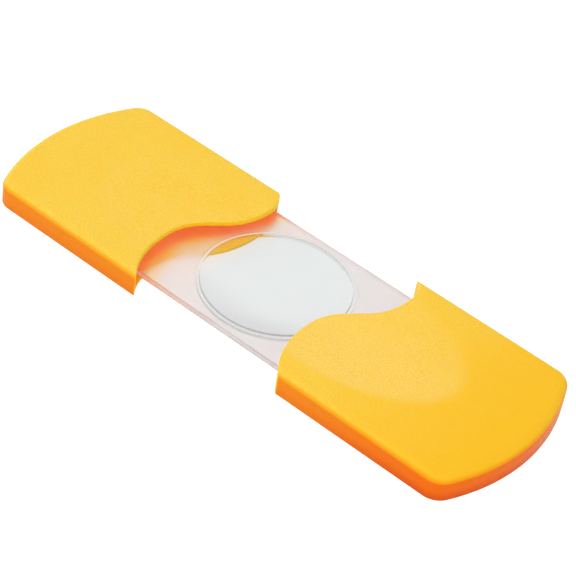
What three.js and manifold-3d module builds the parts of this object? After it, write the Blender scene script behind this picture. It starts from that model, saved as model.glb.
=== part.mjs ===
// Slide-apart pocket magnifier: two moulded covers slide outwards along a clear carrier that holds a round lens.
// Millimetres, +Z up, X along the length. The origin lies on the table under the lens, with the covers pulled open.
import * as THREE from 'three';
import { mergeVertices } from 'three/addons/utils/BufferGeometryUtils.js';
import Module from 'manifold-3d';

const wasm = await Module();
wasm.setup();

// Outline of one cover, seen from above
const coverWidth = 44;
const coverLength = 45.25; // from the near corner of the mouth to the crown of the rounded end
const endRadius = 44.5;
const cornerRadius = 4.4;
const topEdgeRadius = 1.6;

// Heights, from the table up
const floorThickness = 0.9;
const cavityHeight = 3.25;
const roofThickness = 1.25; // under the deepest point of the dish
const dishDepth = 0.4;

// Walls of a cover, and the rebate that takes its floor
const wallThickness = 1.6;
const rebateLip = 0.9;
const floorGap = 0.12;

// Thumb dish, shared by both covers and centred where they meet
const dishHalfLength = 28.8;
const dishHalfWidth = 17.3;

// Clearances of what slides
const slideGap = 0.3;
const runnerGap = 0.15;
const closedGap = 0.3;

// Stop blocks beside the carrier, and the runners above and below it
const stopWidth = 1.8;
const stopLength = 7;
const stopFootGap = 0.1;
const runnerWidth = 0.8;
const runnerInset = 0.3;
const runnerSetback = 1.5;

// Lens carrier
const carrierThickness = 1.7;
const carrierLift = 0.85; // from the floor of a cover up to the carrier
const lugLength = 3.2;
const edgeBridge = 1.55; // left between the lens seat and the long edge
const carrierChamfer = 0.25;
const seatLedgeThickness = 0.6;

// Magnifying lens
const flangeWidth = 0.6; // flat ring round the lens, level with the carrier
const flankWidth = 0.15;
const flankHeightShare = 0.82; // steep part of the height that the lens stands above the carrier
const seatGap = 0.15;
const lensExposure = 3; // clear plate left beside the lens when the covers are open
const lensHeadroom = 0.15;

// Mouth of a cover: an S that dips near the viewer and reaches out on the far side, one for the roof, one for the floor
const roofMouth = {
  nearDepth: 5.6,
  farReach: 3.75,
  cornerReach: 0.5,
  nearPlaceShare: 0.36,
  crossPlaceShare: 0.615,
  farPlaceShare: 0.864,
};
const floorMouth = {
  nearDepth: 3.15,
  farReach: 4.95,
  cornerReach: 0.5,
  nearPlaceShare: 0.195,
  crossPlaceShare: 0.408,
  farPlaceShare: 0.727,
};
const startHandleShare = 0.22;
const dipHandleShare = 0.48;
const crossHandleShare = 0.29;
const crestHandleShare = 0.4;
const endHandleShare = 0.28;
const startSlopeShare = 0.9;
const crossSlopeShare = 0.88;
const endSlopeShare = 1.2;

// How far cuts run past what they cut
const overrun = 4;

// Facets
const cornerSteps = 8;
const endSteps = 28;
const mouthSteps = 9;
const bevelSteps = 5;
const dishRings = 5;
const roundSteps = 72;
const domeSteps = 8;
const flankSteps = 4;

// Places worked out from the sizes above
const halfWidth = coverWidth / 2;
const coverHeight = floorThickness + cavityHeight + roofThickness + dishDepth;
const ceiling = floorThickness + cavityHeight;
const carrierHalfWidth = halfWidth - wallThickness - stopWidth - slideGap;
const carrierBottom = floorThickness + carrierLift;
const carrierTop = carrierBottom + carrierThickness;
const seatRadius = carrierHalfWidth - edgeBridge;
const rimRadius = seatRadius - seatGap;
const lensRadius = rimRadius - flangeWidth;
const crownRadius = lensRadius - flankWidth;
const crownRise = ceiling - lensHeadroom - carrierTop;
const flankRise = flankHeightShare * crownRise;
const ledgeRadius = lensRadius + seatGap;
const mouthOpen = lensRadius + lensExposure;
const mouthReach = roofMouth.nearDepth + floorMouth.farReach + overrun;

// Colours as the moulded pieces look in daylight
const coverPlastic = new THREE.MeshStandardMaterial({ color: 0xfdc844, roughness: 0.45, metalness: 0 });
const floorPlastic = new THREE.MeshStandardMaterial({ color: 0xf7a92c, roughness: 0.5, metalness: 0 });
const carrierAcrylic = new THREE.MeshStandardMaterial({
  color: 0xf0e2dc,
  roughness: 0.3,
  metalness: 0,
  transparent: true,
  opacity: 0.45,
});
const lensAcrylic = new THREE.MeshStandardMaterial({
  color: 0xeaefee,
  roughness: 0.04,
  metalness: 0,
  transparent: true,
  opacity: 0.3,
});

// A closed three.js geometry as a solid that can be cut and joined
function solidOf(geometry) {
  const bare = geometry.clone();
  bare.deleteAttribute('normal');
  bare.deleteAttribute('uv');
  const merged = mergeVertices(bare);
  const mesh = new wasm.Mesh({
    numProp: 3,
    vertProperties: new Float32Array(merged.attributes.position.array),
    triVerts: new Uint32Array(merged.index.array),
  });
  return new wasm.Manifold(mesh);
}

// The solid back as a three.js geometry
function geometryOf(solid) {
  const mesh = solid.getMesh();
  const geometry = new THREE.BufferGeometry();
  geometry.setAttribute('position', new THREE.BufferAttribute(mesh.vertProperties, mesh.numProp));
  geometry.setIndex(new THREE.BufferAttribute(mesh.triVerts, 1));
  geometry.computeVertexNormals();
  return geometry;
}

// A flat outline raised from one height to another
function prism(points, bottom, top) {
  const geometry = new THREE.ExtrudeGeometry(new THREE.Shape(points), { depth: top - bottom, bevelEnabled: false });
  geometry.translate(0, 0, bottom);
  return solidOf(geometry);
}

// A block between two corners
function block(low, high) {
  const geometry = new THREE.BoxGeometry(high[0] - low[0], high[1] - low[1], high[2] - low[2]);
  geometry.translate((low[0] + high[0]) / 2, (low[1] + high[1]) / 2, (low[2] + high[2]) / 2);
  return solidOf(geometry);
}

// A profile of radius and height turned about Z
function turned(profile) {
  const geometry = new THREE.LatheGeometry(profile, roundSteps);
  geometry.rotateX(Math.PI / 2);
  return solidOf(geometry);
}

// Where the straight side of a cover ends and its corner begins, the same for every inset of the outline
function cornerStart() {
  return coverLength - endRadius + Math.sqrt((endRadius - cornerRadius) ** 2 - (halfWidth - cornerRadius) ** 2);
}

// Points of an arc, both ends included
function arcPoints(centreX, centreY, radius, from, to, steps) {
  return Array.from({ length: steps + 1 }, (_, i) => {
    const angle = from + ((to - from) * i) / steps;
    return new THREE.Vector2(centreX + radius * Math.cos(angle), centreY + radius * Math.sin(angle));
  });
}

// The rounded end of a cover, drawn in by an inset, from one straight side round to the other
function endPoints(inset) {
  const centreX = coverLength - endRadius;
  const cornerX = cornerStart();
  const cornerY = halfWidth - cornerRadius;
  const turn = Math.atan2(cornerY, cornerX - centreX);
  const radius = cornerRadius - inset;
  return [
    ...arcPoints(cornerX, -cornerY, radius, -Math.PI / 2, -turn, cornerSteps),
    ...arcPoints(centreX, 0, endRadius - inset, -turn, turn, endSteps).slice(1, -1),
    ...arcPoints(cornerX, cornerY, radius, turn, Math.PI / 2, cornerSteps),
  ];
}

// The whole outline of a cover on one side of the magnifier, run on past its mouth to be cut there
function coverOutline(side, inset) {
  const end = endPoints(inset);
  const points = [
    new THREE.Vector2(-mouthReach, -halfWidth + inset),
    ...end,
    new THREE.Vector2(-mouthReach, halfWidth - inset),
  ];
  return points.map((point) => new THREE.Vector2(side * point.x, point.y));
}

// The S of a mouth as points from the near edge to the far edge
function mouthPoints(mouth) {
  const near = mouth.nearPlaceShare * coverWidth;
  const cross = mouth.crossPlaceShare * coverWidth;
  const far = mouth.farPlaceShare * coverWidth;
  const startHandle = startHandleShare * near;
  const fallHandle = crossHandleShare * (cross - near);
  const riseHandle = crossHandleShare * (far - cross);
  const endHandle = endHandleShare * (coverWidth - far);
  const stretches = [
    [
      [0, 0],
      [-startSlopeShare * startHandle, startHandle],
      [-mouth.nearDepth, near - dipHandleShare * near],
      [-mouth.nearDepth, near],
    ],
    [
      [-mouth.nearDepth, near],
      [-mouth.nearDepth, near + dipHandleShare * (cross - near)],
      [-crossSlopeShare * fallHandle, cross - fallHandle],
      [0, cross],
    ],
    [
      [0, cross],
      [crossSlopeShare * riseHandle, cross + riseHandle],
      [mouth.farReach, far - crestHandleShare * (far - cross)],
      [mouth.farReach, far],
    ],
    [
      [mouth.farReach, far],
      [mouth.farReach, far + crestHandleShare * (coverWidth - far)],
      [mouth.cornerReach + endSlopeShare * endHandle, coverWidth - endHandle],
      [mouth.cornerReach, coverWidth],
    ],
  ];
  const points = [new THREE.Vector2(0, -halfWidth)];
  for (const stretch of stretches) {
    const corners = stretch.map(([x, y]) => new THREE.Vector2(x, y - halfWidth));
    points.push(...new THREE.CubicBezierCurve(...corners).getPoints(mouthSteps).slice(1));
  }
  return points;
}

// Everything on a cover's own side of its mouth
function behindMouth(side, mouth) {
  const points = mouthPoints(mouth);
  const last = points[points.length - 1];
  const beyond = side * (coverLength + overrun);
  return prism(
    [
      new THREE.Vector2(points[0].x, -halfWidth - overrun),
      ...points,
      new THREE.Vector2(last.x, halfWidth + overrun),
      new THREE.Vector2(beyond, halfWidth + overrun),
      new THREE.Vector2(beyond, -halfWidth - overrun),
    ],
    -overrun,
    coverHeight + overrun,
  );
}

// The body of a cover with its round top edge, still solid
function roundedBody(side) {
  const geometry = new THREE.ExtrudeGeometry(new THREE.Shape(coverOutline(side, 0)), {
    depth: coverHeight,
    bevelEnabled: true,
    bevelThickness: topEdgeRadius,
    bevelSize: topEdgeRadius,
    bevelOffset: -topEdgeRadius,
    bevelSegments: bevelSteps,
  });
  geometry.translate(0, 0, -topEdgeRadius);
  return solidOf(geometry).intersect(prism(coverOutline(side, -overrun / 2), 0, coverHeight + overrun));
}

// The shallow dish, as the solid that is cut away
function dishCutter(side) {
  const profile = [new THREE.Vector2(0, -dishDepth)];
  for (let ring = 1; ring <= dishRings; ring += 1) {
    const reach = ring / dishRings;
    profile.push(new THREE.Vector2(reach, dishDepth * (reach * reach - 1)));
  }
  const rim = profile[profile.length - 1].x;
  profile.push(new THREE.Vector2(rim, overrun), new THREE.Vector2(0, overrun));
  const geometry = new THREE.LatheGeometry(profile, roundSteps);
  geometry.rotateX(Math.PI / 2);
  geometry.scale(dishHalfLength, dishHalfWidth, 1);
  geometry.translate((-side * closedGap) / 2, 0, coverHeight);
  return solidOf(geometry);
}

// Runners on both sides, from behind the mouth to the corner, between two heights
function runners(side, bottom, top) {
  const outer = carrierHalfWidth - runnerInset;
  const inner = outer - runnerWidth;
  const start = roofMouth.nearDepth + runnerSetback;
  const ends = [side * start, side * cornerStart()].sort((a, b) => a - b);
  const near = block([ends[0], -outer, bottom], [ends[1], -inner, top]);
  const far = block([ends[0], inner, bottom], [ends[1], outer, top]);
  return near.add(far);
}

// Stop blocks that catch the carrier's lugs when the cover is pulled out
function stopBlocks(side) {
  const inner = carrierHalfWidth + slideGap;
  const outer = halfWidth - wallThickness / 2;
  const reach = lugStart() - slideGap - mouthOpen;
  const ends = [side * (reach - stopLength), side * reach].sort((a, b) => a - b);
  const foot = floorThickness + stopFootGap;
  const top = ceiling + roofThickness / 2;
  const near = block([ends[0], -outer, foot], [ends[1], -inner, top]);
  const far = block([ends[0], inner, foot], [ends[1], outer, top]);
  return near.add(far);
}

// The moulded shell of a cover: roof, side walls and rounded end, open below
function coverShell(side) {
  const hollow = prism(coverOutline(side, wallThickness), -overrun, ceiling);
  const rebate = prism(coverOutline(side, rebateLip), -overrun, floorThickness);
  return roundedBody(side)
    .subtract(hollow)
    .subtract(rebate)
    .add(runners(side, carrierTop + runnerGap, ceiling + roofThickness / 2))
    .add(stopBlocks(side))
    .subtract(dishCutter(side))
    .intersect(behindMouth(side, roofMouth));
}

// The flat floor of a cover, let into the shell's rebate
function coverFloor(side) {
  return prism(coverOutline(side, rebateLip + floorGap), 0, floorThickness)
    .add(runners(side, floorThickness / 2, carrierBottom - runnerGap))
    .intersect(behindMouth(side, floorMouth));
}

// Where the carrier's lugs begin, seen from the middle of the magnifier
function lugStart() {
  return closedGap / 2 + cornerStart() - lugLength;
}

// One level of the carrier: a strip with lugs and rounded ends that follow the inside of the closed covers
function carrierOutline(inset) {
  const start = lugStart() + inset;
  const half = carrierHalfWidth - inset;
  const lugHalf = halfWidth - wallThickness - slideGap - inset;
  const end = endPoints(wallThickness + slideGap + inset).map((point) => {
    return new THREE.Vector2(point.x + closedGap / 2, point.y);
  });
  const right = [
    new THREE.Vector2(start, -half),
    new THREE.Vector2(start, -lugHalf),
    ...end,
    new THREE.Vector2(start, lugHalf),
    new THREE.Vector2(start, half),
  ];
  const left = right.map((point) => new THREE.Vector2(-point.x, -point.y));
  return [...right, ...left];
}

// The clear carrier with its stepped round seat, and its long edges eased above and below
function lensCarrier() {
  const middle = prism(carrierOutline(0), carrierBottom + carrierChamfer, carrierTop - carrierChamfer);
  const faces = prism(carrierOutline(carrierChamfer), carrierBottom, carrierTop);
  const seat = turned([
    new THREE.Vector2(0, carrierBottom - overrun),
    new THREE.Vector2(ledgeRadius, carrierBottom - overrun),
    new THREE.Vector2(ledgeRadius, carrierBottom + seatLedgeThickness),
    new THREE.Vector2(seatRadius, carrierBottom + seatLedgeThickness),
    new THREE.Vector2(seatRadius, carrierTop + overrun),
    new THREE.Vector2(0, carrierTop + overrun),
  ]);
  return middle.add(faces).subtract(seat);
}

// Heights of a dome from its crown out to its rim
function domePoints(reach, rise) {
  const radius = (reach ** 2 + rise ** 2) / (2 * rise);
  return Array.from({ length: domeSteps + 1 }, (_, i) => {
    const out = (reach * i) / domeSteps;
    return new THREE.Vector2(out, Math.sqrt(radius ** 2 - out ** 2) - (radius - rise));
  });
}

// The steep flank of the lens, from its flange up and in to the rim of its upper dome
function flankPoints() {
  return Array.from({ length: flankSteps + 1 }, (_, i) => {
    const along = i / flankSteps;
    const up = along * along * (3 - 2 * along);
    return new THREE.Vector2(lensRadius - along * flankWidth, carrierTop + up * flankRise);
  });
}

// The lens: a deep dome below, a flat flange in the seat, a steep flank and a shallow dome on top
function magnifyingLens() {
  const ledge = carrierBottom + seatLedgeThickness;
  const rim = carrierTop + flankRise;
  const lower = domePoints(lensRadius, ledge - floorThickness - lensHeadroom).map((point) => {
    return new THREE.Vector2(point.x, ledge - point.y);
  });
  const upper = domePoints(crownRadius, crownRise - flankRise).map((point) => {
    return new THREE.Vector2(point.x, rim + point.y);
  });
  return turned([
    ...lower,
    new THREE.Vector2(rimRadius, ledge),
    new THREE.Vector2(rimRadius, carrierTop),
    ...flankPoints(),
    ...upper.reverse().slice(1),
  ]);
}

// A named piece ready for the scene graph
function piece(name, solid, material) {
  const mesh = new THREE.Mesh(geometryOf(solid), material);
  mesh.name = name;
  return mesh;
}

// One cover, standing pulled open on its side of the lens
function cover(prefix, side) {
  const group = new THREE.Group();
  group.add(piece(`${prefix}_cover_shell`, coverShell(side), coverPlastic));
  group.add(piece(`${prefix}_cover_floor`, coverFloor(side), floorPlastic));
  group.position.x = side * mouthOpen;
  return group;
}

const magnifier = new THREE.Group();
magnifier.add(cover('left', -1));
magnifier.add(cover('right', 1));
magnifier.add(piece('lens_carrier', lensCarrier(), carrierAcrylic));
magnifier.add(piece('magnifying_lens', magnifyingLens(), lensAcrylic));

export default magnifier;
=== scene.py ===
import math

import bmesh
import bpy
from mathutils import Matrix, Vector


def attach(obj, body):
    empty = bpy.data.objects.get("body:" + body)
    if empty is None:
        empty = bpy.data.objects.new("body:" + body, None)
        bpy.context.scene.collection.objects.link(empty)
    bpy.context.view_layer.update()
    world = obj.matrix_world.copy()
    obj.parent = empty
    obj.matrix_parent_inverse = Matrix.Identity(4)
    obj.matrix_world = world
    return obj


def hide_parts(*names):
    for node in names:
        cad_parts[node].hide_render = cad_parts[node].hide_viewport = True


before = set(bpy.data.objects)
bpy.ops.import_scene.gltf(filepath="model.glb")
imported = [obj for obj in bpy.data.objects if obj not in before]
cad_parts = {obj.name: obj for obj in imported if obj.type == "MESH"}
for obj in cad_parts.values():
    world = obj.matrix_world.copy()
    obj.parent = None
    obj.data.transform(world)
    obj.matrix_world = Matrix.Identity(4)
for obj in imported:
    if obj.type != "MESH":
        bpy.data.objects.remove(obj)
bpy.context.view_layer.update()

MM = 0.001

# Outline of one cover, seen from above
COVER_WIDTH = 44 * MM
COVER_LENGTH = 45.25 * MM
END_RADIUS = 44.5 * MM
CORNER_RADIUS = 4.4 * MM
TOP_EDGE_RADIUS = 1.6 * MM

# Heights and walls
FLOOR_THICKNESS = 0.9 * MM
CAVITY_HEIGHT = 3.25 * MM
ROOF_THICKNESS = 1.25 * MM
WALL_THICKNESS = 1.6 * MM
REBATE_LIP = 0.9 * MM
FLOOR_GAP = 0.12 * MM
MOUTH_EDGE_ROUND = 0.3 * MM
FLOOR_EDGE_ROUND = 0.12 * MM

# Thumb dish
DISH_DEPTH = 0.4 * MM
DISH_HALF_LENGTH = 28.8 * MM
DISH_HALF_WIDTH = 17.3 * MM

# Stops and runners inside the covers, and their gaps to the carrier
SLIDE_GAP = 0.3 * MM
RUNNER_GAP = 0.15 * MM
CLOSED_GAP = 0.3 * MM
STOP_WIDTH = 1.8 * MM
STOP_LENGTH = 7 * MM
STOP_FOOT_GAP = 0.1 * MM
RUNNER_WIDTH = 0.8 * MM
RUNNER_INSET = 0.3 * MM
RUNNER_SETBACK = 1.5 * MM

# Lens carrier and lens. The bond is how far the lens reaches into its seat, so that it looks
# cemented
CARRIER_THICKNESS = 1.7 * MM
CARRIER_LIFT = 0.85 * MM
CARRIER_EDGE_ROUND = 0.25 * MM
FLAT_HOLD = 0.12 * MM
LUG_LENGTH = 3.2 * MM
EDGE_BRIDGE = 1.55 * MM
SEAT_LEDGE_THICKNESS = 0.6 * MM
SEAT_GAP = 0.15 * MM
SEAT_BOND = 0.006 * MM
FLANGE_DROP = 0.003 * MM
FLANGE_WIDTH = 0.6 * MM
FLANK_WIDTH = 0.15 * MM
FLANK_HEIGHT_SHARE = 0.82
LENS_EXPOSURE = 3 * MM
LENS_HEADROOM = 0.15 * MM

# Mouths of the covers, roof and floor. The places are shares of the width, from the near edge:
# deepest point of the dip, where the S crosses back, and the crest
ROOF_MOUTH = {
    "near_depth": 5.6 * MM,
    "far_reach": 3.75 * MM,
    "corner_reach": 0.5 * MM,
    "places": (0.36, 0.615, 0.864),
}
FLOOR_MOUTH = {
    "near_depth": 3.15 * MM,
    "far_reach": 4.95 * MM,
    "corner_reach": 0.5 * MM,
    "places": (0.195, 0.408, 0.727),
}
START_HANDLE_SHARE = 0.22
DIP_HANDLE_SHARE = 0.48
CROSS_HANDLE_SHARE = 0.29
CREST_HANDLE_SHARE = 0.4
END_HANDLE_SHARE = 0.28
START_SLOPE = 0.9
CROSS_SLOPE = 0.88
END_SLOPE = 1.2

# Fineness of the meshes
ROWS = 64
CORNER_STEPS = 12
END_STEPS = 56
EDGE_STEPS = 8
WALL_STEPS = 4
MOUTH_STEPS = 90
ROUND_STEPS = 256
LENS_RINGS = 112
FLANK_RING_SHARES = (0.86, 0.96)
CARRIER_EDGE_STEPS = 6
MOUTH_BEVEL_STEPS = 3
FLOOR_BEVEL_STEPS = 2
SHARP_ANGLE = 30
CLEAR_SHARP_ANGLE = 25

# Places worked out from the sizes above
HALF_WIDTH = COVER_WIDTH / 2
CEILING = FLOOR_THICKNESS + CAVITY_HEIGHT
COVER_HEIGHT = CEILING + ROOF_THICKNESS + DISH_DEPTH
CARRIER_HALF_WIDTH = HALF_WIDTH - WALL_THICKNESS - STOP_WIDTH - SLIDE_GAP
CARRIER_BOTTOM = FLOOR_THICKNESS + CARRIER_LIFT
CARRIER_TOP = CARRIER_BOTTOM + CARRIER_THICKNESS
SEAT_RADIUS = CARRIER_HALF_WIDTH - EDGE_BRIDGE
RIM_RADIUS = SEAT_RADIUS - SEAT_GAP
LENS_RADIUS = RIM_RADIUS - FLANGE_WIDTH
CROWN_RISE = CEILING - LENS_HEADROOM - CARRIER_TOP
FLANK_RISE = FLANK_HEIGHT_SHARE * CROWN_RISE
MOUTH_OPEN = LENS_RADIUS + LENS_EXPOSURE
RUNNER_START = MOUTH_OPEN + ROOF_MOUTH["near_depth"] + RUNNER_SETBACK
RUNNER_OUTER = CARRIER_HALF_WIDTH - RUNNER_INSET
RUNNER_INNER = RUNNER_OUTER - RUNNER_WIDTH
SEAT_LEDGE = CARRIER_BOTTOM + SEAT_LEDGE_THICKNESS
SEAT_HOLE_RADIUS = LENS_RADIUS + SEAT_GAP

# Camera, fitted to the outlines, the lens and the long edges in the photograph
LOOK_AT = (0.07 * MM, 4.31 * MM, 0)
CAMERA_DISTANCE = 428 * MM
CAMERA_HEADING = math.radians(123.95)
CAMERA_ELEVATION = math.radians(40.06)
CAMERA_ROLL = math.radians(10.01)
FOCAL_LENGTH = 129.05
SENSOR_WIDTH = 36
NEAREST_SEEN = 10 * MM

# Table, room and lamps. The table glows only for what sees it, so that it shows as paper white
TABLE_SIZE = 80
TABLE_DROP = 0.02 * MM
TABLE_COLOUR = (0.86, 0.86, 0.86, 1)
TABLE_GLOW = (("Is Camera Ray", 0.45), ("Is Glossy Ray", 0.1), ("Is Transmission Ray", 0.02))
ROOM_COLOUR = (1, 1, 1, 1)
ROOM_STRENGTH = 0.59
SOFTBOXES = (    # name, place, width, depth, energy
    ("top_softbox", (-0.02, -0.42, 0.90), 0.8, 0.7, 4.25),
    ("far_softbox", (-1.05, 0.15, 0.30), 0.9, 0.5, 2.8),
    ("right_softbox", (0.80, -0.35, 0.42), 0.8, 0.5, 1.2),
)

# Where most values of a noise lie, and how squarely a face turns along an axis for the masks
NOISE_SPREAD = (0.3, 0.7)
SPECKLE_SPREAD = (0.33, 0.67)
MOTTLE_SPREAD = (0.35, 0.65)
DUST_SPREAD = (0.62, 0.8)
MOUTH_FACING = (-0.5, -0.15)
STEEP_FACING = (0.05, 0.8)
LIP_HIGHLIGHT_FACING = (0.35, 0.6)
UPPER_FACING = (0, 0.5)
UPRIGHT_FACING = (0.3, 0.8)
DISH_EDGE = (0.75, 1.0)

# Orange plastic. Where there are two colours, they are the dark and the light of its speckle
SPECKLE_SIZE = 0.36 * MM
CLOUD_SIZE = 14 * MM
RUB_SIZE = 3 * MM
RUB_STRETCH = (0.35, 1, 1)
GRAIN_SIZE = 0.22 * MM
GRAIN_DEPTH = 0.026 * MM
GRAIN_STRENGTH = 0.9
TOP_SHADES = ((0.905, 0.57, 0.034, 1), (0.98, 0.66, 0.118, 1))
TOP_CLOUD = (0.96, 0.575, 0.034, 1)
CLOUD_SHARE = 0.35
# Painted shade: the top deepens towards the right end, as if less lit there
TOP_RIGHT_SHADE = (0.96, 0.515, 0.008, 1)
TOP_RIGHT_SHADE_SHARE = 0.8
# Painted sheen: the thumb dish is lighter, most on the right cover's near half
DISH_SHEEN_SHADES = ((0.95, 0.625, 0.11, 1), (0.995, 0.695, 0.21, 1))
DISH_SHEEN_RISE = (-20 * MM, 20 * MM, 0.15, 0.55)
DISH_SHEEN_FADE = (-4 * MM, 14 * MM, 1.0, 0.35)
# Painted shade: the walls are coloured deeper than the top, as if less lit
WALL_PAINTED_SHADES = ((0.95, 0.245, 0.006, 1), (0.99, 0.30, 0.014, 1))
# Painted shade: the walls deepen towards the right end too
WALL_RIGHT_SHADE = (0.96, 0.17, 0.006, 1)
# Painted shade: the walls darken towards their foot, more so towards the right end
WALL_FOOT_SHADE = (0.72, 0.085, 0.006, 1)
FOOT_SHADE_HEIGHT = 3 * MM
FOOT_SHADE_SHARES = (0.25, 0.6)
# Painted glow: a rich orange band where the top turns into the wall
EDGE_PAINTED_GLOW = (1.0, 0.43, 0.004, 1)
EDGE_PAINTED_GLOW_GAIN = 2.6
# Painted light: the faces of the mouth are coloured as brightly as if well lit
LIP_PAINTED_LIGHT_SHADES = ((1.0, 0.57, 0.016, 1), (1.0, 0.63, 0.030, 1))
# Painted highlight along the top edge of the mouth's faces
LIP_PAINTED_HIGHLIGHT = (1.0, 0.72, 0.16, 1)
# Where the painted shade towards the right end begins and ends
SHADE_RIGHTWARD = (18 * MM, 62 * MM)
MOTTLE_SIZE = 1.6 * MM
FLOOR_RUB_SIZE = 2.2 * MM
FLOOR_GRAIN_SIZE = 0.2 * MM
FLOOR_GRAIN_DEPTH = 0.010 * MM
FLOOR_GRAIN_STRENGTH = 0.6
FLOOR_SHADES = ((1.0, 0.52, 0.014, 1), (1.0, 0.56, 0.022, 1))
# Painted shade: the floor's upper face is deeper in colour under the roof
FLOOR_PAINTED_SHADE_TONES = ((0.97, 0.17, 0.002, 1), (1.0, 0.21, 0.004, 1))
FLOOR_INSIDE = (-2.4, 0.6)    # millimetres under the roof
COVER_ROUGHNESS = (0.26, 0.32)
FLOOR_ROUGHNESS = (0.42, 0.52)
ORANGE_IOR = 1.5
COVER_SPECULAR = 0.05
FLOOR_SPECULAR = 0.1
ORANGE_GLOW = {
    "Subsurface_Weight": 0.4,
    "Subsurface_Radius": (1.0, 0.45, 0.1),
    "Subsurface_Scale": 1 * MM,
}
COVER_LIGHT_SHARE = 0.9

# Clear acrylic. Where there are two colours, they are its left and its right end, and painted
# orange light from the left cover warms the left ones
CLEAR_IOR = 1.35
HAZE_SIZE = 5 * MM
HAZE_RANGE = (0.40, 0.50)
POLISHED_ROUGHNESS = 0.02
FROST_EDGE = 0.4 * MM
FROST_GRAIN = (0.3 * MM, 0.004 * MM, 0.5)
SIDE_START = (17 * MM, 17.5 * MM)
BORE_RANGE = (SEAT_HOLE_RADIUS + 0.1 * MM, SEAT_HOLE_RADIUS + 0.2 * MM)
ROOF_DIP_X = MOUTH_OPEN + ROOF_MOUTH["near_depth"]
ROOF_DIP_Y = ROOF_MOUTH["places"][0] * COVER_WIDTH - HALF_WIDTH
MOUTH_SLANT = 0.39
# Painted shade: the frosted face's white veil begins only past the left roof's mouth
VEIL_START = (1 * MM, 7 * MM)
FACE_VEIL, SIDE_VEIL, BORE_VEIL = 0.25, 0.5, 0.85
# Painted orange light from the left cover warms the left colours of the edges, face and seat
EDGE_COLOURS = ((0.98, 0.36, 0.15, 1), (0.74, 0.60, 0.58, 1))
# The core colours make the middle of the edge lighter: painted light
EDGE_CORE_PAINTED_LIGHT = ((1.0, 0.62, 0.45, 1), (0.88, 0.79, 0.78, 1))
EDGE_CORE = (0.2 * MM, 0.6 * MM)
FACE_COLOURS = ((0.92, 0.83, 0.79, 1), (0.86, 0.82, 0.81, 1))
FACE_ORANGE_LIGHT = (1.0, 0.79, 0.55, 1)
ORANGE_LIGHT_REACH = (1 * MM, 4.5 * MM)
ORANGE_LIGHT_FADE = (-22 * MM, 4 * MM)
BORE_COLOURS = ((1.0, 0.55, 0.04, 1), (0.93, 0.94, 0.93, 1))
BORE_CHANGE = (-13 * MM, -9 * MM)
CARRIER_LIGHT_SHARE = 0.96
DUST_SIZE = 0.9 * MM
DUST_RANGE = (0.012, 0.05)
RING_START = (LENS_RADIUS - 0.155 * MM, LENS_RADIUS - 0.14 * MM)
RING_FOOT = (CARRIER_TOP - 0.03 * MM, CARRIER_TOP - 0.015 * MM)
RING_VEIL = 0.6
RING_ROUGHNESS = 0.4
LENS_COLOUR = (0.855, 0.885, 0.88, 1)
# Painted orange light from the left cover on the lens's left
LENS_LEFT_ORANGE_LIGHT = (0.93, 0.91, 0.86, 1)
LENS_LEFT_ORANGE_LIGHT_FADE = (-15 * MM, -10 * MM)
# Painted shade on the lens's near side
LENS_NEAR_SHADE = (0.80, 0.81, 0.805, 1)
LENS_NEAR_SHADE_FADE = (-15 * MM, -6 * MM)
LENS_LIGHT_SHARE = 0.97


def place_camera():
    """The camera looks down at the lens, turned a little about its own line of sight."""
    ahead = Vector((
        math.cos(CAMERA_ELEVATION) * math.cos(CAMERA_HEADING),
        math.cos(CAMERA_ELEVATION) * math.sin(CAMERA_HEADING),
        -math.sin(CAMERA_ELEVATION),
    ))
    level = ahead.cross(Vector((0, 0, 1))).normalized()
    upright = level.cross(ahead)
    right = math.cos(CAMERA_ROLL) * level + math.sin(CAMERA_ROLL) * upright
    up = math.cos(CAMERA_ROLL) * upright - math.sin(CAMERA_ROLL) * level
    data = bpy.data.cameras.new("camera")
    data.lens = FOCAL_LENGTH
    data.sensor_width = SENSOR_WIDTH
    data.clip_start = NEAREST_SEEN
    camera = bpy.data.objects.new("camera", data)
    bpy.context.collection.objects.link(camera)
    turn = Matrix((right, up, -ahead)).transposed().to_4x4()
    camera.matrix_world = Matrix.Translation(Vector(LOOK_AT) - CAMERA_DISTANCE * ahead) @ turn
    bpy.context.scene.camera = camera


# Shapes shared by the covers and the carrier

def arc_points(centre, radius, start, stop, steps):
    """Points of an arc, both ends included."""
    angles = [start + (stop - start) * i / steps for i in range(steps + 1)]
    return [(centre[0] + radius * math.cos(a), centre[1] + radius * math.sin(a)) for a in angles]


def corner_start():
    """Where the straight side of a cover ends, counted from its mouth."""
    across = HALF_WIDTH - CORNER_RADIUS
    return COVER_LENGTH - END_RADIUS + math.sqrt((END_RADIUS - CORNER_RADIUS) ** 2 - across ** 2)


def end_points(inset):
    """The rounded end of a cover, drawn in by an inset, from the near side to the far side."""
    centre = (COVER_LENGTH - END_RADIUS, 0)
    corner = (corner_start(), HALF_WIDTH - CORNER_RADIUS)
    turn = math.atan2(corner[1], corner[0] - centre[0])
    radius = CORNER_RADIUS - inset
    quarter = math.pi / 2
    return (
        arc_points((corner[0], -corner[1]), radius, -quarter, -turn, CORNER_STEPS)
        + arc_points(centre, END_RADIUS - inset, -turn, turn, END_STEPS)[1:-1]
        + arc_points(corner, radius, turn, quarter, CORNER_STEPS)
    )


def cubic(points, t):
    """A point of a cubic curve with four control points."""
    weights = ((1 - t) ** 3, 3 * t * (1 - t) ** 2, 3 * t ** 2 * (1 - t), t ** 3)
    return tuple(sum(w * p[axis] for w, p in zip(weights, points)) for axis in (0, 1))


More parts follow.
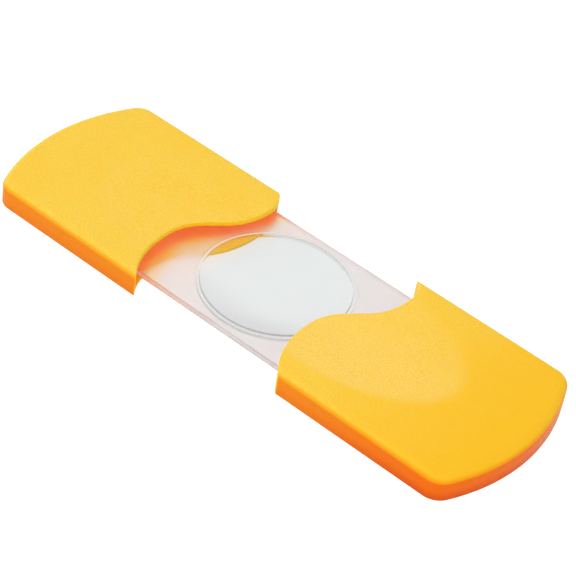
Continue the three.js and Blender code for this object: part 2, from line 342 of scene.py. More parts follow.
def mouth_curve(mouth):
    """The S of a mouth as (reach, place across) from the near edge to the far edge."""
    near, cross, far = (share * COVER_WIDTH for share in mouth["places"])
    depth, reach, corner = mouth["near_depth"], mouth["far_reach"], mouth["corner_reach"]
    start = START_HANDLE_SHARE * near
    fall = CROSS_HANDLE_SHARE * (cross - near)
    rise = CROSS_HANDLE_SHARE * (far - cross)
    end = END_HANDLE_SHARE * (COVER_WIDTH - far)
    stretches = (
        (
            (0, 0),
            (-START_SLOPE * start, start),
            (-depth, near - DIP_HANDLE_SHARE * near),
            (-depth, near),
        ),
        (
            (-depth, near),
            (-depth, near + DIP_HANDLE_SHARE * (cross - near)),
            (-CROSS_SLOPE * fall, cross - fall),
            (0, cross),
        ),
        (
            (0, cross),
            (CROSS_SLOPE * rise, cross + rise),
            (reach, far - CREST_HANDLE_SHARE * (far - cross)),
            (reach, far),
        ),
        (
            (reach, far),
            (reach, far + CREST_HANDLE_SHARE * (COVER_WIDTH - far)),
            (corner + END_SLOPE * end, COVER_WIDTH - end),
            (corner, COVER_WIDTH),
        ),
    )
    points = [(0, 0)]
    for stretch in stretches:
        points += [cubic(stretch, i / MOUTH_STEPS) for i in range(1, MOUTH_STEPS + 1)]
    return [(x, y - HALF_WIDTH) for x, y in points]


def reach_at(curve, y):
    """How far a mouth reaches at one place across the cover."""
    for (x0, y0), (x1, y1) in zip(curve, curve[1:]):
        if y <= y1:
            return x0 + (x1 - x0) * (y - y0) / (y1 - y0)
    return curve[-1][0]


ROOF_CURVE = mouth_curve(ROOF_MOUTH)
FLOOR_CURVE = mouth_curve(FLOOR_MOUTH)


def dish_drop(side, x, y):
    """How far the thumb dish lowers the roof at a place on it."""
    from_middle = x - side * MOUTH_OPEN + side * CLOSED_GAP / 2
    fall = 1 - (from_middle / DISH_HALF_LENGTH) ** 2 - (y / DISH_HALF_WIDTH) ** 2
    return DISH_DEPTH * max(fall, 0)


def finish_mesh(mesh, name, material, sharp=SHARP_ANGLE):
    """A plain mesh as a piece at the origin, smooth but for edges sharper than an angle."""
    mesh.name = name
    mesh.shade_smooth()
    mesh.set_sharp_from_angle(angle=math.radians(sharp))
    mesh.materials.clear()
    mesh.materials.append(material)
    piece = bpy.data.objects.new(name, mesh)
    bpy.context.collection.objects.link(piece)
    return piece


def baked(thing):
    """What an object's modifiers make of it, as a plain mesh. The object itself goes."""
    graph = bpy.context.evaluated_depsgraph_get()
    mesh = bpy.data.meshes.new_from_object(thing.evaluated_get(graph))
    bpy.data.objects.remove(thing)
    return mesh


def loose_object(name, bm):
    """A mesh being worked on, as an object that can take modifiers."""
    bmesh.ops.recalc_face_normals(bm, faces=bm.faces)
    mesh = bpy.data.meshes.new(name)
    bm.to_mesh(mesh)
    bm.free()
    thing = bpy.data.objects.new(name, mesh)
    bpy.context.collection.objects.link(thing)
    return thing


def round_edges(thing, width, segments):
    """Rounds the marked edges."""
    bevel = thing.modifiers.new("round", "BEVEL")
    bevel.width = width
    bevel.segments = segments
    bevel.limit_method = "WEIGHT"
    bevel.use_clamp_overlap = True
    bevel.miter_outer = "MITER_ARC"


def add_block(bm, low, high):
    """A block between two corners."""
    made = bmesh.ops.create_cube(bm, size=1)
    middle = [(a + b) / 2 for a, b in zip(low, high)]
    span = [b - a for a, b in zip(low, high)]
    bmesh.ops.scale(bm, vec=span, verts=made["verts"])
    bmesh.ops.translate(bm, vec=middle, verts=made["verts"])


def add_runner(bm, side, flank, foot, top):
    """One runner of a cover, near one edge of the carrier, between two heights."""
    x = sorted((side * RUNNER_START, side * (MOUTH_OPEN + corner_start())))
    y = sorted((flank * RUNNER_INNER, flank * RUNNER_OUTER))
    add_block(bm, (x[0], y[0], foot), (x[1], y[1], top))


def combine(thing, other, operation):
    """Joins another object to this one or cuts it away."""
    boolean = thing.modifiers.new("combine", "BOOLEAN")
    boolean.operation = operation
    boolean.solver = "EXACT"
    boolean.object = other


# The covers

def sheet(bm, side, inset, curve, height):
    """Rows of points from a cover's mouth to its rounded end, with heights from a function."""
    end = end_points(inset)
    starts = [side * reach_at(curve, y) for _, y in end]
    rows = []
    for i in range(ROWS + 1):
        row = []
        for start, (stop, y) in zip(starts, end):
            x = side * (MOUTH_OPEN + start + (stop - start) * i / ROWS)
            row.append(bm.verts.new((x, y, height(x, y))))
        rows.append(row)
    for lower, upper in zip(rows, rows[1:]):
        for j in range(len(lower) - 1):
            bm.faces.new((lower[j], lower[j + 1], upper[j + 1], upper[j]))
    return rows


def rim(rows):
    """The outer edge of a sheet, from its near mouth corner round the end to its far one."""
    near = [row[0] for row in rows]
    far = [row[-1] for row in reversed(rows)]
    return near + rows[-1][1:-1] + far


def rail(bm, side, inset, curve, z):
    """One level line round the sides and end of a cover, with as many points as a sheet's rim."""
    end = end_points(inset)
    line = []
    for (stop, y), order in ((end[0], 1), (end[-1], -1)):
        start = side * reach_at(curve, y)
        leg = [(start + (stop - start) * i / ROWS, y) for i in range(ROWS + 1)]
        line += (leg + end[1:-1]) if order == 1 else leg[::-1]
    return [bm.verts.new((side * (MOUTH_OPEN + x), y, z)) for x, y in line]


def bridge(bm, first, second):
    """Faces between two lines of equally many points."""
    for i in range(len(first) - 1):
        bm.faces.new((first[i], first[i + 1], second[i + 1], second[i]))


def mark(bm, layer, line):
    """Marks the edges along a line for rounding."""
    for a, b in zip(line, line[1:]):
        edge = bm.edges.get((a, b))
        if edge:
            edge[layer] = 1


def shell_blocks(side):
    """Runners under the roof and stop blocks at the sides, which reach into roof and walls."""
    bm = bmesh.new()
    into_roof = CEILING + ROOF_THICKNESS / 2
    into_wall = HALF_WIDTH - WALL_THICKNESS / 2
    catch = CLOSED_GAP / 2 + corner_start() - LUG_LENGTH - SLIDE_GAP
    block_foot = FLOOR_THICKNESS + STOP_FOOT_GAP
    for flank in (-1, 1):
        add_runner(bm, side, flank, CARRIER_TOP + RUNNER_GAP, into_roof)
        block_y = sorted((flank * (CARRIER_HALF_WIDTH + SLIDE_GAP), flank * into_wall))
        block_x = sorted((side * (catch - STOP_LENGTH), side * catch))
        add_block(bm, (block_x[0], block_y[0], block_foot), (block_x[1], block_y[1], into_roof))
    return loose_object("shell_blocks", bm)


def cover_shell(prefix, side, material):
    """Roof, walls and rounded end of a cover, with its dish, round top edge and eased mouth."""
    bm = bmesh.new()
    weight = bm.edges.layers.float.new("bevel_weight_edge")

    def dished(x, y):
        return COVER_HEIGHT - dish_drop(side, x, y)

    top = sheet(bm, side, TOP_EDGE_RADIUS, ROOF_CURVE, dished)
    under = sheet(bm, side, WALL_THICKNESS, ROOF_CURVE, lambda x, y: CEILING)
    rails = [rim(top)]
    for i in range(EDGE_STEPS - 1, -1, -1):
        angle = math.pi / 2 * i / EDGE_STEPS
        inset = TOP_EDGE_RADIUS * (1 - math.cos(angle))
        height = COVER_HEIGHT - TOP_EDGE_RADIUS * (1 - math.sin(angle))
        rails.append(rail(bm, side, inset, ROOF_CURVE, height))
    for i in range(WALL_STEPS - 1, -1, -1):
        height = (COVER_HEIGHT - TOP_EDGE_RADIUS) * i / WALL_STEPS
        rails.append(rail(bm, side, 0, ROOF_CURVE, height))
    foot = rails[-1]
    rails.append(rail(bm, side, REBATE_LIP, ROOF_CURVE, 0))
    rails.append(rail(bm, side, REBATE_LIP, ROOF_CURVE, FLOOR_THICKNESS))
    rails.append(rail(bm, side, WALL_THICKNESS, ROOF_CURVE, FLOOR_THICKNESS))
    rails.append(rim(under))
    for first, second in zip(rails, rails[1:]):
        bridge(bm, first, second)
    bridge(bm, top[0], under[0])
    for end in (0, -1):
        section = [line[end] for line in rails]
        bm.faces.new(section)
        mark(bm, weight, section)
    mark(bm, weight, top[0])
    mark(bm, weight, under[0])
    mark(bm, weight, foot)
    thing = loose_object(prefix + "_shell_work", bm)
    round_edges(thing, MOUTH_EDGE_ROUND, MOUTH_BEVEL_STEPS)
    blocks = shell_blocks(side)
    combine(thing, blocks, "UNION")
    mesh = baked(thing)
    bpy.data.objects.remove(blocks)
    piece = finish_mesh(mesh, prefix + "_shell_moulding", material)
    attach(piece, prefix + "_cover")
    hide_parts(prefix + "_cover_shell")


def cover_floor(prefix, side, material):
    """The flat floor that closes a cover from below, with its two runners. Its points carry how far
    they lie under the roof, for its painted shade."""
    bm = bmesh.new()
    weight = bm.edges.layers.float.new("bevel_weight_edge")
    inset = REBATE_LIP + FLOOR_GAP
    upper = sheet(bm, side, inset, FLOOR_CURVE, lambda x, y: FLOOR_THICKNESS)
    lower = sheet(bm, side, inset, FLOOR_CURVE, lambda x, y: 0)
    bridge(bm, rim(upper), rim(lower))
    bridge(bm, upper[0], lower[0])
    for line in (rim(upper), rim(lower), upper[0], lower[0]):
        mark(bm, weight, line)
    thing = loose_object(prefix + "_floor_work", bm)
    round_edges(thing, FLOOR_EDGE_ROUND, FLOOR_BEVEL_STEPS)
    bm = bmesh.new()
    for flank in (-1, 1):
        add_runner(bm, side, flank, FLOOR_THICKNESS / 2, CARRIER_BOTTOM - RUNNER_GAP)
    runners = loose_object("floor_runners", bm)
    combine(thing, runners, "UNION")
    mesh = baked(thing)
    bpy.data.objects.remove(runners)
    depth = mesh.attributes.new("under_roof", "FLOAT", "POINT")
    for spot, point in zip(depth.data, mesh.vertices):
        mouth = MOUTH_OPEN + side * reach_at(ROOF_CURVE, point.co.y)
        spot.value = (side * point.co.x - mouth) / MM
    piece = finish_mesh(mesh, prefix + "_floor_moulding", material)
    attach(piece, prefix + "_cover")
    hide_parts(prefix + "_cover_floor")


# The carrier and the lens

def carrier_outline(inset):
    """The carrier from above: a strip with lugs, whose round ends fit inside the closed covers."""
    start = CLOSED_GAP / 2 + corner_start() - LUG_LENGTH + inset
    half = CARRIER_HALF_WIDTH - inset
    lug = HALF_WIDTH - WALL_THICKNESS - SLIDE_GAP - inset
    end = [(x + CLOSED_GAP / 2, y) for x, y in end_points(WALL_THICKNESS + SLIDE_GAP + inset)]
    right = [(start, -half), (start, -lug)] + end + [(start, lug), (start, half)]
    return right + [(-x, -y) for x, y in right]


def turned_object(name, profile):
    """A profile of radius and height turned about Z, from the axis back to the axis."""
    bm = bmesh.new()
    poles = (bm.verts.new((0, 0, profile[0][1])), bm.verts.new((0, 0, profile[-1][1])))
    rings = []
    for radius, z in profile[1:-1]:
        spots = arc_points((0, 0), radius, 0, 2 * math.pi, ROUND_STEPS)[:-1]
        rings.append([bm.verts.new((x, y, z)) for x, y in spots])
    for lower, upper in zip(rings, rings[1:]):
        bridge(bm, lower + lower[:1], upper + upper[:1])
    for pole, ring in ((poles[0], rings[0]), (poles[1], rings[-1])):
        for a, b in zip(ring, ring[1:] + ring[:1]):
            bm.faces.new((pole, a, b))
    return loose_object(name, bm)


def lens_carrier(material):
    """The clear strip with its stepped round seat and softly rounded edges."""
    bm = bmesh.new()
    loops = []
    turns = [math.pi / 2 * i / CARRIER_EDGE_STEPS for i in range(CARRIER_EDGE_STEPS + 1)]
    rounding = [(1 - math.sin(a), CARRIER_EDGE_ROUND * (1 - math.cos(a))) for a in turns]
    lower = [(share, CARRIER_BOTTOM + rise) for share, rise in rounding]
    upper = [(share, CARRIER_TOP - drop) for share, drop in reversed(rounding)]
    flat = 1 + FLAT_HOLD / CARRIER_EDGE_ROUND
    for share, z in [(flat, CARRIER_BOTTOM)] + lower + upper + [(flat, CARRIER_TOP)]:
        outline = carrier_outline(CARRIER_EDGE_ROUND * share)
        loops.append([bm.verts.new((x, y, z)) for x, y in outline])
    for first, second in zip(loops, loops[1:]):
        bridge(bm, first + first[:1], second + second[:1])
    bm.faces.new(loops[0])
    bm.faces.new(loops[-1])
    thing = loose_object("carrier_work", bm)
    below = CARRIER_BOTTOM - CARRIER_THICKNESS
    above = CARRIER_TOP + CARRIER_THICKNESS
    cutter = turned_object("seat_cutter", (
        (0, below),
        (SEAT_HOLE_RADIUS, below),
        (SEAT_HOLE_RADIUS, SEAT_LEDGE),
        (RIM_RADIUS - SEAT_BOND, SEAT_LEDGE),
        (RIM_RADIUS - SEAT_BOND, above),
        (0, above),
    ))
    combine(thing, cutter, "DIFFERENCE")
    mesh = baked(thing)
    bpy.data.objects.remove(cutter)
    piece = finish_mesh(mesh, "clear_carrier", material, CLEAR_SHARP_ANGLE)
    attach(piece, "carrier")
    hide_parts("lens_carrier")


def lens_tree(names, material):
    """Geometry nodes that bulge both faces of a disc into shallow domes inside a flat flange."""
    tree = bpy.data.node_groups.new("lens_from_disc", "GeometryNodeTree")
    sockets = tree.interface
    inputs = {}
    for name in names:
        socket = sockets.new_socket(name, in_out="INPUT", socket_type="NodeSocketFloat")
        inputs[name] = socket.identifier
    sockets.new_socket("Geometry", in_out="OUTPUT", socket_type="NodeSocketGeometry")
    nodes, links = tree.nodes, tree.links
    given = nodes.new("NodeGroupInput").outputs

    def calc(operation, first, second=0.0):
        node = nodes.new("ShaderNodeMath")
        node.operation = operation
        for socket, value in zip(node.inputs, (first, second)):
            if isinstance(value, (int, float)):
                socket.default_value = value
            else:
                links.new(value, socket)
        return node.outputs[0]

    disc = nodes.new("GeometryNodeMeshCylinder")
    disc.fill_type = "TRIANGLE_FAN"
    disc.inputs["Vertices"].default_value = ROUND_STEPS
    disc.inputs["Side Segments"].default_value = 1
    disc.inputs["Fill Segments"].default_value = LENS_RINGS
    links.new(given["Flange Radius"], disc.inputs["Radius"])
    links.new(given["Flange Thickness"], disc.inputs["Depth"])
    place = nodes.new("GeometryNodeInputPosition").outputs[0]

    def distance_squared():
        """How far a point is from the axis, squared."""
        spot = nodes.new("ShaderNodeSeparateXYZ")
        links.new(place, spot.inputs[0])
        x_squared = calc("POWER", spot.outputs[0], 2.0)
        return calc("ADD", x_squared, calc("POWER", spot.outputs[1], 2.0))

    # The disc's rings are crowded into the steep flank of the lens
    share_out = calc("DIVIDE", calc("SQRT", distance_squared()), given["Flange Radius"])
    crowd = nodes.new("ShaderNodeFloatCurve")
    links.new(share_out, crowd.inputs["Value"])
    curve = crowd.mapping.curves[0]
    inner = (LENS_RADIUS - FLANK_WIDTH) / RIM_RADIUS
    outer = LENS_RADIUS / RIM_RADIUS
    for spot_in, spot_out in ((FLANK_RING_SHARES[0], inner), (FLANK_RING_SHARES[1], outer)):
        curve.points.new(spot_in, spot_out)
    for point in curve.points:
        point.handle_type = "VECTOR"
    crowd.mapping.update()
    drawn = nodes.new("ShaderNodeVectorMath")
    drawn.operation = "MULTIPLY"
    spread = nodes.new("ShaderNodeCombineXYZ")
    never_nought = calc("MAXIMUM", share_out, 0.0001)
    ratio = calc("DIVIDE", crowd.outputs[0], never_nought)
    links.new(ratio, spread.inputs[0])
    links.new(ratio, spread.inputs[1])
    spread.inputs[2].default_value = 1.0
    links.new(place, drawn.inputs[0])
    links.new(spread.outputs[0], drawn.inputs[1])
    gather = nodes.new("GeometryNodeSetPosition")
    links.new(disc.outputs["Mesh"], gather.inputs["Geometry"])
    links.new(drawn.outputs[0], gather.inputs["Position"])

    # The flank rises inside the flange, and each face is a cap of a sphere
    out_squared = distance_squared()
    flank = nodes.new("ShaderNodeMapRange")
    flank.interpolation_type = "SMOOTHSTEP"
    links.new(calc("SQRT", out_squared), flank.inputs["Value"])
    links.new(given["Lens Radius"], flank.inputs["From Min"])
    flank_top = calc("SUBTRACT", given["Lens Radius"], given["Rim Width"])
    links.new(flank_top, flank.inputs["From Max"])
    flank_rise = calc("MULTIPLY", flank.outputs["Result"], given["Rim Rise"])
    shape = gather.outputs[0]
    for rise, face, way in (("Upper Rise", "Top", 1.0), ("Lower Rise", "Bottom", -1.0)):
        lens_squared = calc("POWER", given["Lens Radius"], 2.0)
        squares = calc("ADD", lens_squared, calc("POWER", given[rise], 2.0))
        radius = calc("DIVIDE", squares, calc("MULTIPLY", given[rise], 2.0))
        inside = calc("SUBTRACT", calc("POWER", radius, 2.0), out_squared)
        inside = calc("MAXIMUM", inside, 0.0)
        centre = calc("SUBTRACT", radius, given[rise])
        bulge = calc("SUBTRACT", calc("SQRT", inside), centre)
        lift = nodes.new("ShaderNodeCombineXYZ")
        height = calc("MAXIMUM", bulge, 0.0)
        if face == "Top":
            height = calc("ADD", height, flank_rise)
        links.new(calc("MULTIPLY", height, way), lift.inputs[2])
        move = nodes.new("GeometryNodeSetPosition")
        links.new(shape, move.inputs["Geometry"])
        links.new(disc.outputs[face], move.inputs["Selection"])
        links.new(lift.outputs[0], move.inputs["Offset"])
        shape = move.outputs[0]
    whole = nodes.new("GeometryNodeRealizeInstances")
    dress = nodes.new("GeometryNodeSetMaterial")
    dress.inputs["Material"].default_value = material
    links.new(shape, whole.inputs[0])
    links.new(whole.outputs[0], dress.inputs["Geometry"])
    links.new(dress.outputs[0], nodes.new("NodeGroupOutput").inputs[0])
    return tree, inputs


def magnifying_lens(material):
    """The lens, made by its node tree and set on the carrier's ledge."""
    thickness = CARRIER_TOP - FLANGE_DROP - SEAT_LEDGE + SEAT_BOND
    sizes = {
        "Flange Radius": RIM_RADIUS,
        "Flange Thickness": thickness,
        "Lens Radius": LENS_RADIUS,
        "Upper Rise": CROWN_RISE - FLANK_RISE,
        "Lower Rise": SEAT_LEDGE - FLOOR_THICKNESS - LENS_HEADROOM,
        "Rim Width": FLANK_WIDTH,
        "Rim Rise": FLANK_RISE,
    }
    tree, inputs = lens_tree(sizes, material)
    thing = bpy.data.objects.new("lens_work", bpy.data.meshes.new("lens_work"))
    bpy.context.collection.objects.link(thing)
    modifier = thing.modifiers.new("lens", "NODES")
    modifier.node_group = tree
    for name, value in sizes.items():
        modifier[inputs[name]] = value
    mesh = baked(thing)
    mesh.transform(Matrix.Translation((0, 0, SEAT_LEDGE - SEAT_BOND + thickness / 2)))
    piece = finish_mesh(mesh, "clear_lens", material, CLEAR_SHARP_ANGLE)
    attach(piece, "carrier")
    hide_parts("magnifying_lens")


# Materials

class Finish:
    """One material with a Principled shader, and short ways to add nodes to it."""

    def __init__(self, name):
        self.material = bpy.data.materials.new(name)
        self.material.use_nodes = True
        self.nodes = self.material.node_tree.nodes
        self.links = self.material.node_tree.links
        self.shader = self.nodes["Principled BSDF"]
        self.place = self.nodes.new("ShaderNodeTexCoord").outputs["Object"]

    def let_light_through(self, share):
        """Lets a share of the soft light pass, so that the plastic casts only a faint shadow."""
        path = self.nodes.new("ShaderNodeLightPath").outputs
        unseen = self.maths("MAXIMUM", path["Is Shadow Ray"], path["Is Diffuse Ray"])
        self.set(Alpha=self.maths("SUBTRACT", 1.0, self.times(unseen, share)))

    def feed(self, value, socket):
        """Gives a socket a number, a colour or another node's output."""
        if hasattr(value, "links"):
            self.links.new(value, socket)
        else:
            socket.default_value = value

    def set(self, **values):
        """Feeds sockets of the shader, with underlines for the spaces in their names."""
        for name, value in values.items():
            self.feed(value, self.shader.inputs[name.replace("_", " ")])

    def noise(self, size, detail=3.0, stretch=(1, 1, 1)):
        """Noise whose features are about as large as the size given."""
        mapping = self.nodes.new("ShaderNodeMapping")
        mapping.inputs["Scale"].default_value = stretch
        self.links.new(self.place, mapping.inputs["Vector"])
        node = self.nodes.new("ShaderNodeTexNoise")
        node.inputs["Scale"].default_value = 1 / size
        node.inputs["Detail"].default_value = detail
        self.links.new(mapping.outputs[0], node.inputs["Vector"])
        return node.outputs["Fac"]

    def ramp(self, value, low, high, to_low=0.0, to_high=1.0):
        """A value carried from one range to another, smoothly."""
        node = self.nodes.new("ShaderNodeMapRange")
        node.interpolation_type = "SMOOTHSTEP"
        self.feed(value, node.inputs["Value"])
        numbers = {"From Min": low, "From Max": high, "To Min": to_low, "To Max": to_high}
        for name, number in numbers.items():
            node.inputs[name].default_value = number
        return node.outputs["Result"]

    def fade(self, value, low, high):
        """A value carried smoothly from 1 down to 0."""
        return self.ramp(value, low, high, 1.0, 0.0)

    def mix(self, share, first, second):
        """Two colours mixed by a share."""
        node = self.nodes.new("ShaderNodeMix")
        node.data_type = "RGBA"
        self.feed(share, node.inputs["Factor"])
        self.feed(first, node.inputs["A"])
        self.feed(second, node.inputs["B"])
        return node.outputs["Result"]

    def maths(self, operation, first, second=0.0):
        """One sum on numbers or outputs."""
        node = self.nodes.new("ShaderNodeMath")
        node.operation = operation
        self.feed(first, node.inputs[0])
        self.feed(second, node.inputs[1])
        return node.outputs[0]

    def times(self, first, second):
        """Two numbers or outputs multiplied."""
        return self.maths("MULTIPLY", first, second)

    def size_of(self, value):
        """A value without its sign."""
        return self.maths("ABSOLUTE", value)

    def attribute(self, name):
        """A number stored on the points of the piece."""
        node = self.nodes.new("ShaderNodeAttribute")
        node.attribute_name = name
        return node.outputs["Fac"]

    def facing(self, axis):
        """How squarely the piece's surface faces along one axis, from -1 to 1."""
        parts = self.nodes.new("ShaderNodeSeparateXYZ")
        source = self.nodes.new("ShaderNodeTexCoord")
        self.links.new(source.outputs["Normal"], parts.inputs[0])
        return parts.outputs[axis]

    def coordinate(self, axis):
        """A point's place along one axis."""
        parts = self.nodes.new("ShaderNodeSeparateXYZ")
        self.links.new(self.place, parts.inputs[0])
        return parts.outputs[axis]

    def radius(self):
        """How far a point is from the axis of the lens."""
        flat = self.nodes.new("ShaderNodeVectorMath")
        flat.operation = "MULTIPLY"
        flat.inputs[1].default_value = (1, 1, 0)
        self.links.new(self.place, flat.inputs[0])
        length = self.nodes.new("ShaderNodeVectorMath")
        length.operation = "LENGTH"
        self.links.new(flat.outputs[0], length.inputs[0])
        return length.outputs["Value"]

    def wall_and_lip(self):
        """Two masks: the walls that face away from the lens, which take painted shade, and the
        faces of the mouth, which take painted light.
        """
        outwards = self.maths("SIGN", self.coordinate("X"))
        mouth = self.fade(self.times(self.facing("X"), outwards), *MOUTH_FACING)
        steep = self.fade(self.facing("Z"), *STEEP_FACING)
        wall = self.times(steep, self.maths("SUBTRACT", 1.0, mouth))
        return wall, self.times(steep, mouth)

    def dish_share(self):
        """A mask of the thumb dish, which takes a painted sheen that makes it a little lighter."""
        outwards = self.maths("SUBTRACT", self.size_of(self.coordinate("X")), MOUTH_OPEN)
        length = self.maths("DIVIDE", outwards, DISH_HALF_LENGTH)
        length = self.maths("POWER", length, 2.0)
        width = self.maths("DIVIDE", self.size_of(self.coordinate("Y")), DISH_HALF_WIDTH)
        width = self.maths("POWER", width, 2.0)
        return self.fade(self.maths("ADD", length, width), *DISH_EDGE)

    def bump(self, height, distance, strength):
        """Fine relief on the surface."""
        node = self.nodes.new("ShaderNodeBump")
        node.inputs["Strength"].default_value = strength
        node.inputs["Distance"].default_value = distance
        self.links.new(height, node.inputs["Height"])
        self.links.new(node.outputs[0], self.shader.inputs["Normal"])


def cover_finish():
    """Yellow-orange plastic with a fine spark-eroded grain. Painted shade makes its walls deeper in
    colour than the top, more so towards the foot and the right end, where the top deepens too; a
    painted glow makes its top edge richer, painted light and a painted highlight brighten the faces
    of the mouth, and a painted sheen makes its thumb dish lighter."""
    finish = Finish("moulded_orange")
    speckle = finish.ramp(finish.noise(SPECKLE_SIZE, 2), *SPECKLE_SPREAD)
    cloud = finish.ramp(finish.noise(CLOUD_SIZE, 2), *NOISE_SPREAD)
    wall, lip = finish.wall_and_lip()
    # A mask rising towards the right end, for the painted shade there
    along = finish.ramp(finish.coordinate("X"), *SHADE_RIGHTWARD)

    top = finish.mix(speckle, *TOP_SHADES)
    top = finish.mix(finish.times(cloud, CLOUD_SHARE), top, TOP_CLOUD)
    # Painted shade towards the right end of the top
    top = finish.mix(finish.times(along, TOP_RIGHT_SHADE_SHARE), top, TOP_RIGHT_SHADE)
    # Painted sheen in the thumb dish, most on the right cover's near half
    dish_sheen = finish.ramp(finish.coordinate("X"), *DISH_SHEEN_RISE)
    dish_sheen = finish.times(dish_sheen, finish.ramp(finish.coordinate("Y"), *DISH_SHEEN_FADE))
    dish_sheen = finish.times(finish.dish_share(), dish_sheen)
    top = finish.mix(dish_sheen, top, finish.mix(speckle, *DISH_SHEEN_SHADES))

    # Painted shade: the walls take a deeper colour than the top, as if less lit
    wall_painted_shade = finish.mix(speckle, *WALL_PAINTED_SHADES)
    # Painted shade: the walls deepen towards the right end
    wall_painted_shade = finish.mix(along, wall_painted_shade, WALL_RIGHT_SHADE)
    # Painted shade: the walls darken towards their foot
    foot = finish.fade(finish.coordinate("Z"), 0, FOOT_SHADE_HEIGHT)
    foot_shade_share = finish.maths("ADD", FOOT_SHADE_SHARES[0], finish.times(along, FOOT_SHADE_SHARES[1]))
    wall_painted_shade = finish.mix(finish.times(foot, foot_shade_share), wall_painted_shade, WALL_FOOT_SHADE)

    colour = finish.mix(wall, top, wall_painted_shade)
    # Painted glow along the band where the top turns into the wall
    turn = finish.times(wall, finish.maths("SUBTRACT", 1.0, wall))
    colour = finish.mix(finish.times(turn, EDGE_PAINTED_GLOW_GAIN), colour, EDGE_PAINTED_GLOW)
    # Painted light on the faces of the mouth
    colour = finish.mix(lip, colour, finish.mix(speckle, *LIP_PAINTED_LIGHT_SHADES))
    # Painted highlight along the crest of the mouth's faces
    crest = finish.times(lip, finish.ramp(finish.facing("Z"), *LIP_HIGHLIGHT_FACING))
    colour = finish.mix(crest, colour, LIP_PAINTED_HIGHLIGHT)

    rub = finish.noise(RUB_SIZE, 4, RUB_STRETCH)
    rough = finish.ramp(rub, *NOISE_SPREAD, *COVER_ROUGHNESS)
    finish.set(Base_Color=colour, Roughness=rough)
    finish.set(IOR=ORANGE_IOR, Specular_IOR_Level=COVER_SPECULAR, **ORANGE_GLOW)
    finish.bump(finish.noise(GRAIN_SIZE, 2), GRAIN_DEPTH, GRAIN_STRENGTH)
    finish.let_light_through(COVER_LIGHT_SHARE)
    return finish.material


def floor_finish():
    """The same plastic, smoother, and with painted shade: deeper in colour where its upper face is
    under the roof.
    """
    finish = Finish("moulded_orange_flat")
    mottle = finish.ramp(finish.noise(MOTTLE_SIZE, 3), *MOTTLE_SPREAD)
    # Painted shade on the floor's upper face where it lies under the roof
    inside = finish.ramp(finish.attribute("under_roof"), *FLOOR_INSIDE)
    inside = finish.times(inside, finish.ramp(finish.facing("Z"), *UPPER_FACING))
    shaded = finish.mix(mottle, *FLOOR_PAINTED_SHADE_TONES)
    colour = finish.mix(inside, finish.mix(mottle, *FLOOR_SHADES), shaded)
    rub = finish.noise(FLOOR_RUB_SIZE, 3)
    rough = finish.ramp(rub, *NOISE_SPREAD, *FLOOR_ROUGHNESS)
    finish.set(Base_Color=colour, Roughness=rough)
    finish.set(IOR=ORANGE_IOR, Specular_IOR_Level=FLOOR_SPECULAR, **ORANGE_GLOW)
    finish.bump(finish.noise(FLOOR_GRAIN_SIZE, 2), FLOOR_GRAIN_DEPTH, FLOOR_GRAIN_STRENGTH)
    return finish.material


def past_left_mouth(finish):
    """How far a point lies to the right of the left roof's wavy mouth, about."""
    across = finish.size_of(finish.maths("SUBTRACT", finish.coordinate("Y"), ROOF_DIP_Y))
    from_dip = finish.maths("ADD", finish.coordinate("X"), ROOF_DIP_X)
    return finish.maths("SUBTRACT", from_dip, finish.times(across, MOUTH_SLANT))


def carrier_finish():
    """Clear acrylic with a lightly frosted face, with painted orange light from the left cover,
    warmer towards it on the face, the edges and the seat's inner wall.
    """
    finish = Finish("frosted_acrylic")
    frosted = finish.ramp(finish.radius(), SEAT_RADIUS, SEAT_RADIUS + FROST_EDGE)
    haze = finish.ramp(finish.noise(HAZE_SIZE, 3), *NOISE_SPREAD, *HAZE_RANGE)
    haze = finish.maths("ADD", POLISHED_ROUGHNESS, finish.times(haze, frosted))

    # Masks of the long edges and of the inner wall of the seat, which look whiter than the face
    upright = finish.fade(finish.size_of(finish.facing("Z")), *UPRIGHT_FACING)
    side = finish.times(upright, finish.ramp(finish.radius(), *SIDE_START))
    bore = finish.times(upright, finish.fade(finish.radius(), *BORE_RANGE))
    # Painted shade: the veil is left out under the left roof
    beyond = past_left_mouth(finish)
    veil = finish.times(frosted, finish.times(finish.ramp(beyond, *VEIL_START), FACE_VEIL))
    veil = finish.maths("MAXIMUM", veil, finish.times(side, SIDE_VEIL))
    veil = finish.maths("MAXIMUM", veil, finish.times(bore, BORE_VEIL))

    # A mask that fades from the left end, for the painted orange light
    away = finish.ramp(finish.coordinate("X"), *ORANGE_LIGHT_FADE)
    middle = (CARRIER_BOTTOM + CARRIER_TOP) / 2
    # Painted light: a lighter band along the middle of the edge
    core = finish.size_of(finish.maths("SUBTRACT", finish.coordinate("Z"), middle))
    core = finish.fade(core, *EDGE_CORE)
    edge = finish.mix(away, *EDGE_COLOURS)
    edge = finish.mix(core, edge, finish.mix(away, *EDGE_CORE_PAINTED_LIGHT))
    face = finish.mix(away, *FACE_COLOURS)
    # Painted orange light on the face close past the left roof's mouth
    face = finish.mix(finish.ramp(beyond, *ORANGE_LIGHT_REACH), FACE_ORANGE_LIGHT, face)
    # Painted orange light on the seat's inner wall at its left
    bore_colour = finish.mix(finish.ramp(finish.coordinate("X"), *BORE_CHANGE), *BORE_COLOURS)
    colour = finish.mix(bore, finish.mix(side, face, edge), bore_colour)

    clearness = finish.maths("SUBTRACT", 1.0, veil)
    finish.set(Base_Color=colour, Transmission_Weight=clearness, IOR=CLEAR_IOR, Roughness=haze)
    size, depth, strength = FROST_GRAIN
    finish.bump(finish.noise(size, 2), depth, strength)
    finish.let_light_through(CARRIER_LIGHT_SHARE)
    return finish.material


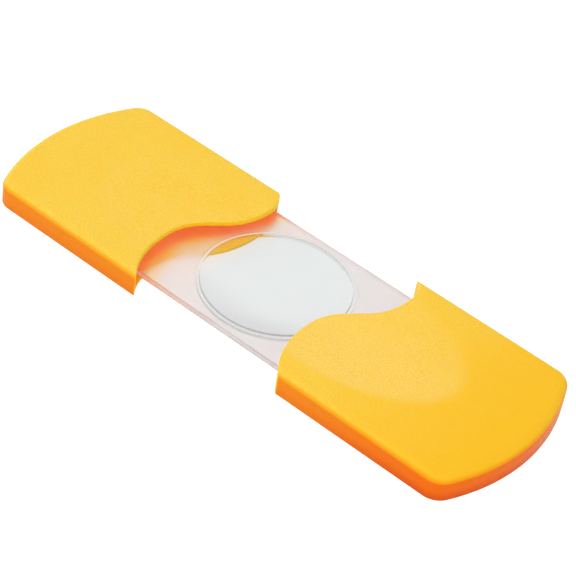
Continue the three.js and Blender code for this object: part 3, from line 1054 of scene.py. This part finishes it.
def lens_finish():
    """Clear polished acrylic with a breath of dust and a ground ring round its flank. Painted
    orange light makes it a little warmer on the left, and painted shade makes it greyer on the near
    side."""
    finish = Finish("polished_acrylic")
    dust = finish.ramp(finish.noise(DUST_SIZE, 4), *DUST_SPREAD, *DUST_RANGE)
    ring = finish.ramp(finish.radius(), *RING_START)
    ground = finish.times(ring, finish.ramp(finish.coordinate("Z"), *RING_FOOT))
    # Painted orange light on the lens's left
    left = finish.fade(finish.coordinate("X"), *LENS_LEFT_ORANGE_LIGHT_FADE)
    # Painted shade on the lens's near side
    near = finish.fade(finish.coordinate("Y"), *LENS_NEAR_SHADE_FADE)
    colour = finish.mix(left, LENS_COLOUR, LENS_LEFT_ORANGE_LIGHT)
    colour = finish.mix(near, colour, LENS_NEAR_SHADE)
    clearness = finish.maths("SUBTRACT", 1.0, finish.times(ground, RING_VEIL))
    rough = finish.maths("ADD", dust, finish.times(ground, RING_ROUGHNESS))
    finish.set(Base_Color=colour, Transmission_Weight=clearness, IOR=CLEAR_IOR, Roughness=rough)
    finish.let_light_through(LENS_LIGHT_SHARE)
    return finish.material


# Floor, backdrop and light

def place_stage():
    """A wide white table top that shows as paper white and keeps the magnifier's shadow."""
    bpy.ops.mesh.primitive_plane_add(size=TABLE_SIZE, location=(0, 0, -TABLE_DROP))
    table = bpy.context.object
    table.name = "table"
    material = bpy.data.materials.new("white_table")
    material.use_nodes = True
    nodes, links = material.node_tree.nodes, material.node_tree.links
    nodes.clear()
    plain = nodes.new("ShaderNodeBsdfDiffuse")
    plain.inputs["Color"].default_value = TABLE_COLOUR
    glow = nodes.new("ShaderNodeEmission")
    path = nodes.new("ShaderNodeLightPath")
    level = None
    for kind, strength in TABLE_GLOW:
        share = nodes.new("ShaderNodeMath")
        share.operation = "MULTIPLY"
        share.inputs[1].default_value = strength
        links.new(path.outputs[kind], share.inputs[0])
        if level:
            most = nodes.new("ShaderNodeMath")
            most.operation = "MAXIMUM"
            links.new(level, most.inputs[0])
            links.new(share.outputs[0], most.inputs[1])
            share = most
        level = share.outputs[0]
    links.new(level, glow.inputs["Strength"])
    both = nodes.new("ShaderNodeAddShader")
    links.new(plain.outputs[0], both.inputs[0])
    links.new(glow.outputs[0], both.inputs[1])
    links.new(both.outputs[0], nodes.new("ShaderNodeOutputMaterial").inputs["Surface"])
    table.data.materials.append(material)


def add_softbox(name, place, width, depth, energy):
    """One large soft lamp that faces the lens."""
    data = bpy.data.lights.new(name, "AREA")
    data.shape = "RECTANGLE"
    data.size = width
    data.size_y = depth
    data.energy = energy
    lamp = bpy.data.objects.new(name, data)
    bpy.context.collection.objects.link(lamp)
    lamp.location = place
    lamp.rotation_euler = (Vector(LOOK_AT) - lamp.location).to_track_quat("-Z", "Y").to_euler()


def place_light():
    """An even white room with large soft lamps above the near side, on the left and right."""
    world = bpy.data.worlds.new("white_room")
    bpy.context.scene.world = world
    world.use_nodes = True
    room = world.node_tree.nodes["Background"]
    room.inputs["Color"].default_value = ROOM_COLOUR
    room.inputs["Strength"].default_value = ROOM_STRENGTH
    for softbox in SOFTBOXES:
        add_softbox(*softbox)


bpy.context.scene.view_settings.view_transform = "Standard"
place_camera()
place_stage()
place_light()

orange = cover_finish()
orange_flat = floor_finish()
for prefix, side in (("left", -1), ("right", 1)):
    cover_shell(prefix, side, orange)
    cover_floor(prefix, side, orange_flat)
lens_carrier(carrier_finish())
magnifying_lens(lens_finish())
